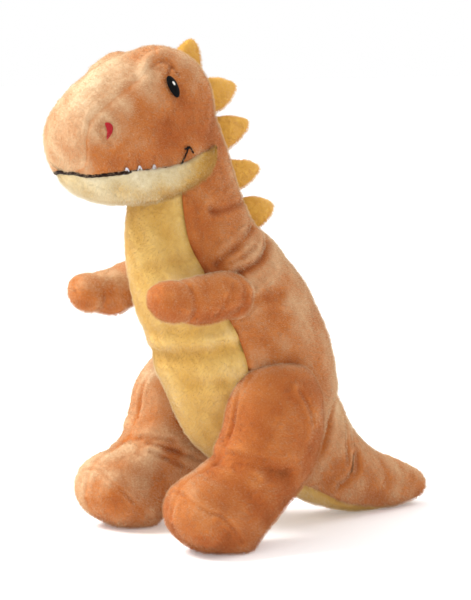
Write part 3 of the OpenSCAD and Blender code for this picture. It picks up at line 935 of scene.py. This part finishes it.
def satin_patch(name, side, at, half, tilt, lift, rise, material, threads=16, bow=0.0):
    """An embroidered oval on the head, domed, with ridges of thread across it. Its middle (at)
    and half sizes are (station, angle), tilt is how much further back its lower end is than
    its middle, and bow bends it into a crescent."""
    rings = np.linspace(0, 1, 14)
    turns = np.radians(np.arange(0, 360, 6))
    verts = []
    for q in rings:
        for turn in turns:
            x, y = q * math.cos(turn), q * math.sin(turn)
            du = half[0] * (x * (1 - 0.35 * bow) + bow * (0.6 - y * y)) + tilt * y
            ridge = 0.07 * math.cos(threads * math.pi * x) * (1 - q**6)
            height = lift + rise * (1 - q**2.4) + ridge
            verts.append(lay_on(at[0] + du, at[1] + half[1] * y, height, side)[0])
    obj = make_mesh(f"thread_{name}", np.array(verts),
                    grid_faces(len(rings), len(turns), closed=True))
    outward(obj, lay_on(at[0], at[1], -8, side)[0])
    finish_thread(obj, material, name)


def along_head(places, lift, side=1):
    """Points and normals of a smooth line over the head."""
    made = [lay_on(u, v, lift, side) for u, v in smooth_line(np.array(places, float))]
    return [q for q, _ in made], [m for _, m in made]


# Places on the head are (station, angle).
TEETH = [(2.82, 110.5), (3.2, 111.5), (3.62, 114)]
SMILE = [(4.26, 120), (4.42, 119.5), (4.57, 116), (4.71, 111), (4.85, 104.5)]
SMILE_BARBS = [[(4.86, 104), (4.79, 103.7), (4.75, 104.6)],
               [(4.86, 104), (4.97, 104.8), (5.1, 107.6)]]
MOUTH_END = 4.35


def tooth_rows():
    """Each tooth is a few stitches that fan out from its point down to the mouth."""
    return [[(u + 0.02 * k, v - 2.2), (u + 0.08 * k, v + 2.2)]
            for u, v in TEETH for k in (-1, -0.35, 0.3, 0.95)]


def face_side(name, side):
    satin_patch(f"eye_{name}", side, at=(4.625, 58.6), half=(0.142, 9.0), tilt=0.03,
                lift=1.0, rise=1.0, material=BLACK)
    satin_patch(f"eye_glint_{name}", side, at=(4.63, 57), half=(0.042, 2.1), tilt=0.01,
                lift=1.8, rise=0.35, material=WHITE, threads=6)
    satin_patch(f"nostril_{name}", side, at=(2.6, 69), half=(0.13, 7.4), tilt=-0.075,
                lift=1.0, rise=0.6, material=RED, threads=8, bow=0.8)
    strokes = [along_head(row, 1.0, side) for row in tooth_rows()]
    stitch_set(f"teeth_{name}", strokes, 0.8, 1.7, GREY)
    strokes = [along_head(row, 1.0, side) for row in [SMILE, *SMILE_BARBS]]
    stitch_set(f"smile_{name}", strokes, 1.0, 2.2, BLACK)


def mouth_line():
    """A line of stitches along the muzzle's seam, from one corner round to the other."""
    us = MOUTH_END * np.linspace(0.04, 1, 50) ** 1.3
    at = seam_at(us) + 0.5 - 3.0 * rising(us, 2.0)
    rise = 0.4 + 0.5 * rising(us, 0.6)
    right, left = ([lay_on(u, v, r, side) for u, v, r in zip(us, at, rise)] for side in (-1, 1))
    path = right[::-1] + left
    line = np.array([q for q, _ in path])
    for _ in range(20):
        line[1:-1] = (line[:-2] + 2 * line[1:-1] + line[2:]) / 4
    stitch_set("mouth_line", [(line, [m for _, m in path])], 1.9, 3.2, BROWN)


# ---- stage ----

FLOOR_REACH = 6.0
TOY_MIDDLE = (0, 0, 0.12)
WHITE_LIGHT = (1.0, 1.0, 1.0)


def floor():
    """A pale floor that runs on out of sight, a little brighter than the light makes it."""
    mesh = bpy.data.meshes.new("floor")
    s = FLOOR_REACH
    mesh.from_pydata([(-s, -s, 0), (s, -s, 0), (s, s, 0), (-s, s, 0)], [], [(0, 1, 2, 3)])
    obj = bpy.data.objects.new("floor", mesh)
    bpy.context.scene.collection.objects.link(obj)
    n = Nodes("floor")
    greys = n.ramp(n.noise(3.0), [(0.3, (0.93,) * 3), (0.7, (0.96,) * 3)])
    n.join(greys, n.shader.inputs["Base Color"])
    n.set(Roughness=0.7, Emission_Strength=0.2, Emission_Color=(*WHITE_LIGHT, 1))
    mesh.materials.append(n.material)


def surroundings():
    """White light from all round, and colours shown as they are."""
    scene = bpy.context.scene
    world = bpy.data.worlds.new("studio")
    scene.world = world
    world.use_nodes = True
    background = world.node_tree.nodes["Background"]
    background.inputs["Color"].default_value = (*WHITE_LIGHT, 1)
    background.inputs["Strength"].default_value = 1.0
    scene.view_settings.view_transform = "Standard"
    scene.view_settings.look = "None"


def light(name, at, size, power, colour):
    """A round soft light, turned to the toy's middle."""
    data = bpy.data.lights.new(name, "AREA")
    data.shape = "DISK"
    data.size = size
    data.energy = power
    data.color = colour
    obj = bpy.data.objects.new(name, data)
    obj.location = at
    obj.rotation_euler = (Vector(TOY_MIDDLE) - Vector(at)).to_track_quat("-Z", "Y").to_euler()
    bpy.context.scene.collection.objects.link(obj)


# Degrees, metres, toy millimetres, and the lens in millimetres.
CAMERA_TURN = 53
CAMERA_RISE = 6.4
CAMERA_AWAY = 1.3
CAMERA_AIM = [13.4, 17.8, 117.0]
LENS = 159.12


def camera():
    """At the height of the toy's head, turned well to its left side, with a long lens."""
    turn, rise = math.radians(CAMERA_TURN), math.radians(CAMERA_RISE)
    back = Vector((math.sin(turn) * math.cos(rise), -math.cos(turn) * math.cos(rise), math.sin(rise)))
    data = bpy.data.cameras.new("camera")
    data.sensor_width = 36
    data.lens = LENS
    obj = bpy.data.objects.new("camera", data)
    obj.location = Vector(in_frame([CAMERA_AIM])[0]) + back * CAMERA_AWAY
    obj.rotation_euler = (-back).to_track_quat("-Z", "Y").to_euler()
    bpy.context.scene.collection.objects.link(obj)
    bpy.context.scene.camera = obj


camera()
floor()
surroundings()
light("key", (-0.75, -1.0, 1.42), 0.8, 37, (1.0, 0.99, 0.97))
light("back", (0.2, 1.2, 1.2), 0.8, 5, WHITE_LIGHT)
head()
jaw()
throat()
trunk()
tail()
for name, side in SIDES:
    leg(name, side)
    arm(name, side)
for number, row in enumerate(SPINES, 1):
    spine(number, *row)
for name, side in SIDES:
    face_side(name, side)
mouth_line()
